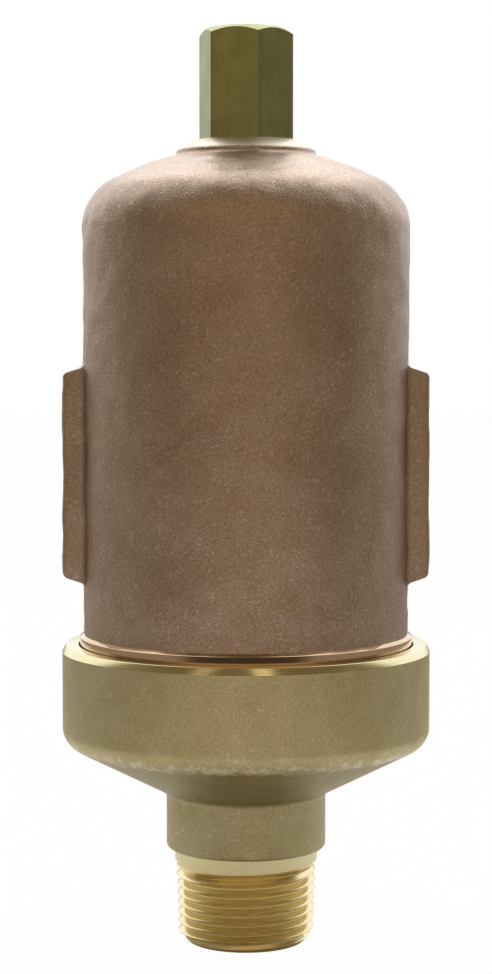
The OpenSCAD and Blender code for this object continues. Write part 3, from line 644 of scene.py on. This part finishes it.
# %% Hexagon finish
hex_brass, tree, shader, place = new_finish("drawn_hexagon_brass")
stretch = add(tree, "ShaderNodeMapping", None, {"Vector": place, "Scale": (1.0, 1.0, 0.04)})
lines = add(tree, "ShaderNodeTexNoise", None,
            {"Vector": stretch.outputs[0], "Scale": per_metre(0.5), "Detail": 3.0, "Roughness": 0.6})
cloud = add(tree, "ShaderNodeTexNoise", None,
            {"Vector": place, "Scale": per_metre(5.0), "Detail": 3.0})
mixed = add(tree, "ShaderNodeMath", {"operation": "MULTIPLY_ADD"},
            {0: lines.outputs[0], 1: 0.6, 2: cloud.outputs[0]})
tone = add(tree, "ShaderNodeMapRange", None,
           {"Value": mixed.outputs[0], "From Min": 0.55, "From Max": 1.05})
skin = add(tree, "ShaderNodeMix", {"data_type": "RGBA"},
           {SHARE: tone.outputs[0], FIRST: srgb("#939A66"), SECOND: srgb("#ABB180")})
shine = add(tree, "ShaderNodeMapRange", None,
            {"Value": lines.outputs[0], "To Min": 0.3, "To Max": 0.45})
rough = add(tree, "ShaderNodeBump", None,
            {"Strength": 0.2, "Distance": 0.04 * MM, "Height": lines.outputs[0]})
tree.links.new(skin.outputs[MIXED], shader.inputs["Base Color"])
tree.links.new(shine.outputs[0], shader.inputs["Roughness"])
tree.links.new(rough.outputs[0], shader.inputs["Normal"])
shader.inputs["Metallic"].default_value = 0.95
print(hex_brass.name)

# %% [markdown]
# ## The vent fitting
# The section is spun round first. The two rings of the hexagon are then moved out to six flats, and
# the upper one follows the chamfer cone, which gives the curved edges that a turned hexagon has.

# %% Hexagon
vent_z, top_z = [c.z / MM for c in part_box("vent_fitting")]
FLATS, HEX_TURN, HEX_SLOPE, TOP_R, TOP_RING = 16.0, -15.5, 35.0, 7.4, 1.3
VENT_R, PASSAGE_R, PORT_R, PORT_DEPTH, PORT_SINK = 6.6, 2.0, 4.3, 12.0, 0.4
PORT_ROOM, PORT_THREAD_LEN, PORT_STEP = 0.75, 11.0, 0.05
HEX_STEPS, HEX_SHARP, CORNER_SLACK, CORNER_ROUND, CORNER_STEPS = 96, 20, 0.005, 0.1, 2
hex_r = FLATS / 2 / math.cos(math.radians(30))
section = [
    (VENT_R, vent_z), (VENT_R, boss_z), (hex_r, boss_z), (hex_r, top_z - TOP_RING), (TOP_R, top_z),
    (PORT_R + PORT_SINK, top_z), (PORT_R, top_z - PORT_SINK),
    (PORT_R + PORT_ROOM, top_z - PORT_SINK - PORT_STEP), (PORT_R + PORT_ROOM, top_z - PORT_THREAD_LEN),
    (PORT_R, top_z - PORT_DEPTH), (PASSAGE_R, top_z - PORT_DEPTH), (PASSAGE_R, vent_z),
]
fitting = lathe(section, HEX_STEPS)
for v in fitting.verts:
    radius = math.hypot(v.co.x, v.co.y) / MM
    if abs(radius - hex_r) < FACE_SLACK:
        along = math.degrees(math.atan2(v.co.y, v.co.x)) % 60
        wanted = FLATS / 2 / math.cos(math.radians(along - 30))
        v.co.x *= wanted / radius
        v.co.y *= wanted / radius
        if v.co.z > (boss_z + 1) * MM:
            v.co.z = (top_z - (wanted - TOP_R) * math.tan(math.radians(HEX_SLOPE))) * MM
corners = [e for e in fitting.edges
           if all(math.hypot(v.co.x, v.co.y) > (hex_r - CORNER_SLACK) * MM for v in e.verts)]
bevel(fitting, corners, CORNER_ROUND, CORNER_STEPS)
bmesh.ops.rotate(fitting, verts=fitting.verts, cent=(0, 0, 0),
                 matrix=Matrix.Rotation(math.radians(HEX_TURN), 3, "Z"))
bmesh.ops.recalc_face_normals(fitting, faces=fitting.faces)
finish_piece("hexagon_fitting", fitting, [hex_brass], ["vent_fitting"], HEX_SHARP)

# %% [markdown]
# ## The drain port's thread
# A drain tube screws into the top of the fitting, so the hole has an inside thread of 27 turns to the
# inch. It is spun with a lift as the pipe thread was, but its ridges point to the axis, and its faces
# are turned round to face the hole.

# %% Drain port thread
PORT_PITCH, PORT_CUT, PORT_FLAT, PORT_TURNS, PORT_STEPS, PORT_SHARP = 25.4 / 27, 0.7, 0.06, 12, 64, 25
PORT_THREAD_LOW, PORT_THREAD_TOP = 11.5, 0.42
port = bmesh.new()
half_pitch = PORT_PITCH / 2
points = [(0, 0), (PORT_FLAT, 0), (half_pitch, PORT_CUT), (half_pitch + PORT_FLAT, PORT_CUT),
          (PORT_PITCH, 0)]
low_z = top_z - PORT_THREAD_LOW
chain = [port.verts.new(((PORT_R + r) * MM, 0, (low_z + z) * MM)) for z, r in points]
edges = [port.edges.new((chain[i], chain[i + 1])) for i in range(len(chain) - 1)]
bmesh.ops.spin(port, geom=chain + edges, cent=(0, 0, 0), axis=(0, 0, 1),
               dvec=(0, 0, PORT_PITCH * MM / PORT_STEPS), angle=2 * math.pi * PORT_TURNS,
               steps=PORT_STEPS * PORT_TURNS)
bmesh.ops.remove_doubles(port, verts=port.verts, dist=THREAD_WELD)
bmesh.ops.bisect_plane(port, geom=port.verts[:] + port.edges[:] + port.faces[:],
                       plane_co=(0, 0, (top_z - PORT_THREAD_TOP) * MM), plane_no=(0, 0, 1),
                       clear_outer=True)
bmesh.ops.recalc_face_normals(port, faces=port.faces)
bmesh.ops.reverse_faces(port, faces=port.faces)
finish_piece("port_thread", port, [thread_brass], [], PORT_SHARP)

# %% [markdown]
# ## Inner pieces
# The float and its guide don't show in the photograph. Their solids have the right shape, so they
# only get finishes: drawn and turned stainless steel, brass, spring steel, white plastic, black
# rubber and gasket fibre.

# %% Inner finishes
SHINE_SPREAD = 0.06
INNER = {
    "drawn_stainless": ("#C2C6CA", 1.0, 0.26, 2.0,
                        ["float_upper_shell", "float_lower_shell", "float_seam_ring"]),
    "turned_stainless": ("#CDD0D3", 1.0, 0.22, 0.5,
                         ["valve_seat", "guide_spider", "float_top_boss", "float_bottom_boss",
                          "valve_pin", "pin_locknut", "guide_stem"]),
    "turned_guide_brass": ("#CDB06A", 1.0, 0.28, 0.5, ["pin_guide"]),
    "oiled_spring_steel": ("#6D7176", 1.0, 0.35, 1.0, ["spider_snap_ring", "stem_clip"]),
    "white_plastic": ("#E6E2D6", 0.0, 0.45, 1.5, ["guide_bush", "seat_gasket"]),
    "black_rubber": ("#1E1F20", 0.0, 0.6, 0.5, ["pin_tip"]),
    "gasket_fibre": ("#4C4038", 0.0, 0.85, 0.6, ["body_gasket"]),
}
for name, (code, metal, roughness, grain, nodes) in INNER.items():
    made, tree, shader, place = new_finish(name)
    cloud = add(tree, "ShaderNodeTexNoise", None,
                {"Vector": place, "Scale": per_metre(grain), "Detail": 3.0, "Roughness": 0.6})
    shade = add(tree, "ShaderNodeMapRange", None,
                {"Value": cloud.outputs[0], "From Min": 0.3, "From Max": 0.7,
                 "To Min": 0.82, "To Max": 1.0})
    skin = add(tree, "ShaderNodeMix", {"data_type": "RGBA", "blend_type": "MULTIPLY"},
               {SHARE: 1.0, FIRST: srgb(code), SECOND: shade.outputs[0]})
    shine = add(tree, "ShaderNodeMapRange", None,
                {"Value": cloud.outputs[0],
                 "To Min": roughness - SHINE_SPREAD, "To Max": roughness + SHINE_SPREAD})
    tree.links.new(skin.outputs[MIXED], shader.inputs["Base Color"])
    tree.links.new(shine.outputs[0], shader.inputs["Roughness"])
    shader.inputs["Metallic"].default_value = metal
    for node in nodes:
        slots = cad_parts[node].data.materials
        for i in range(len(slots)):
            slots[i] = made
    print(name, "on", len(nodes), "pieces")
